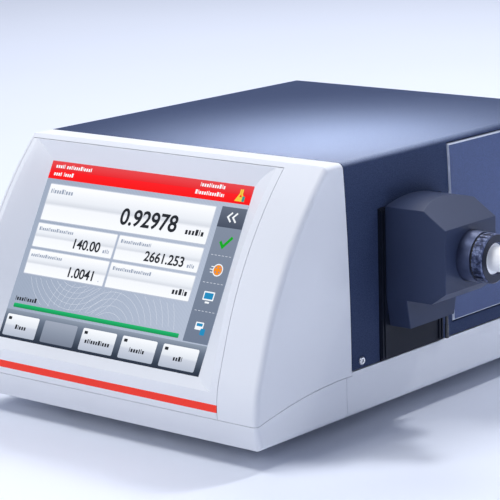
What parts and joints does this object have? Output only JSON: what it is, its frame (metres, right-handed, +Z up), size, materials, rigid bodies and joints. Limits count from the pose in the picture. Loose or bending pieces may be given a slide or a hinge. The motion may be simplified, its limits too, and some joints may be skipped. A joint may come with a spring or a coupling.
{
  "type": "benchtop density meter",
  "caption": "Benchtop density meter with a slanted touch screen, a side sample adapter under a pull-off cover, a knurled locking ring and a filling nozzle.",
  "frame": {"origin": "middle of the part's footprint, at bench height", "axes": "+X from the display's left to the sample adapter on the right, +Y from the display to the rear panel, +Z up"},
  "size_m": [0.4416, 0.477, 0.2305],
  "materials": {
    "housing_plastic": "pale grey moulding with a fine grain",
    "accent_red": "red-orange satin strip",
    "screen_glass": "dark glossy touch screen",
    "lcd": "dark display module",
    "seal_rubber": "black rubber",
    "board_green": "green circuit board",
    "hood_paint": "dark blue-grey fine textured paint",
    "screw_steel": "plain steel",
    "rear_paint": "dark satin paint",
    "foot_rubber": "dark rubber",
    "plate_black": "near-black satin paint",
    "cover_plastic": "dark blue-grey moulding",
    "block_metal": "machined metal",
    "collar_black": "glossy black",
    "ring_metal": "knurled metal",
    "nozzle_white": "white moulding",
    "tube_dark": "dark tube",
    "cell_metal": "copper-coloured block",
    "cell_glass": "clear glass",
    "peltier_white": "white ceramic",
    "foam_grey": "grey foam",
    "chassis_zinc": "plated sheet",
    "pump_grey": "grey paint",
    "dryer_clear": "clear plastic with orange drying beads",
    "socket_black": "black plastic",
    "socket_metal": "bright plated metal"
  },
  "bodies": {
    "housing": {"front_housing": "housing_plastic", "front_base": "housing_plastic", "display_insert": "housing_plastic", "base_pan": "housing_plastic", "accent_strip": "accent_red", "touch_glass": "screen_glass", "display_panel": "lcd", "display_gasket": "seal_rubber", "collar_seal": "seal_rubber", "display_board": "board_green", "main_board": "board_green", "hood": "hood_paint", "side_access_panel": "hood_paint", "side_screws": "screw_steel", "foot_screws": "screw_steel", "chassis_screws": "screw_steel", "board_standoffs": "screw_steel", "rear_panel": "rear_paint", "foot_front_left": "foot_rubber", "foot_front_right": "foot_rubber", "foot_rear_left": "foot_rubber", "foot_rear_right": "foot_rubber", "adapter_plate": "plate_black", "inlet_block": "block_metal", "heat_sink": "block_metal", "inlet_collar": "collar_black", "drain_tube": "tube_dark", "cell_lower_half": "cell_metal", "cell_upper_half": "cell_metal", "measuring_tube": "cell_glass", "peltier_modules": "peltier_white", "cell_insulation": "foam_grey", "chassis_plate": "chassis_zinc", "cell_bracket": "chassis_zinc", "power_supply": "chassis_zinc", "port_plate": "chassis_zinc", "air_pump": "pump_grey", "drying_cartridge": "dryer_clear", "power_inlet": "socket_black", "switch_frame": "socket_black", "fan_frame": "socket_black", "usb_sockets": "socket_metal", "network_socket": "socket_metal", "serial_socket": "socket_metal", "fan_guard": "socket_metal", "hose_nipples": "socket_metal"},
    "adapter_cover": {"adapter_cover": "cover_plastic"},
    "locking_ring": {"locking_ring": "ring_metal"},
    "filling_nozzle": {"filling_nozzle": "nozzle_white"},
    "power_switch": {"switch_rocker": "socket_black"},
    "fan_rotor": {"fan_rotor": "socket_black"}
  },
  "joints": [
    {"name": "cover_pull", "type": "slide", "parent": "housing", "child": "adapter_cover", "axis": [1, 0, 0], "range_m": [0, 0.112]},
    {"name": "ring_turn", "type": "hinge", "parent": "housing", "child": "locking_ring", "pos_m": [0.1908, -0.03372, 0.146], "axis": [1, 0, 0], "range_deg": [0, 90]},
    {"name": "nozzle_pull", "type": "slide", "parent": "housing", "child": "filling_nozzle", "axis": [1, 0, 0], "range_m": [0, 0.045]},
    {"name": "switch_rock", "type": "hinge", "parent": "housing", "child": "power_switch", "pos_m": [-0.1202, 0.22098, 0.086], "axis": [1, 0, 0], "range_deg": [0, 12]},
    {"name": "fan_spin", "type": "hinge", "parent": "housing", "child": "fan_rotor", "pos_m": [-0.1422, 0.20598, 0.163], "axis": [0, 1, 0], "continuous": true}
  ]
}
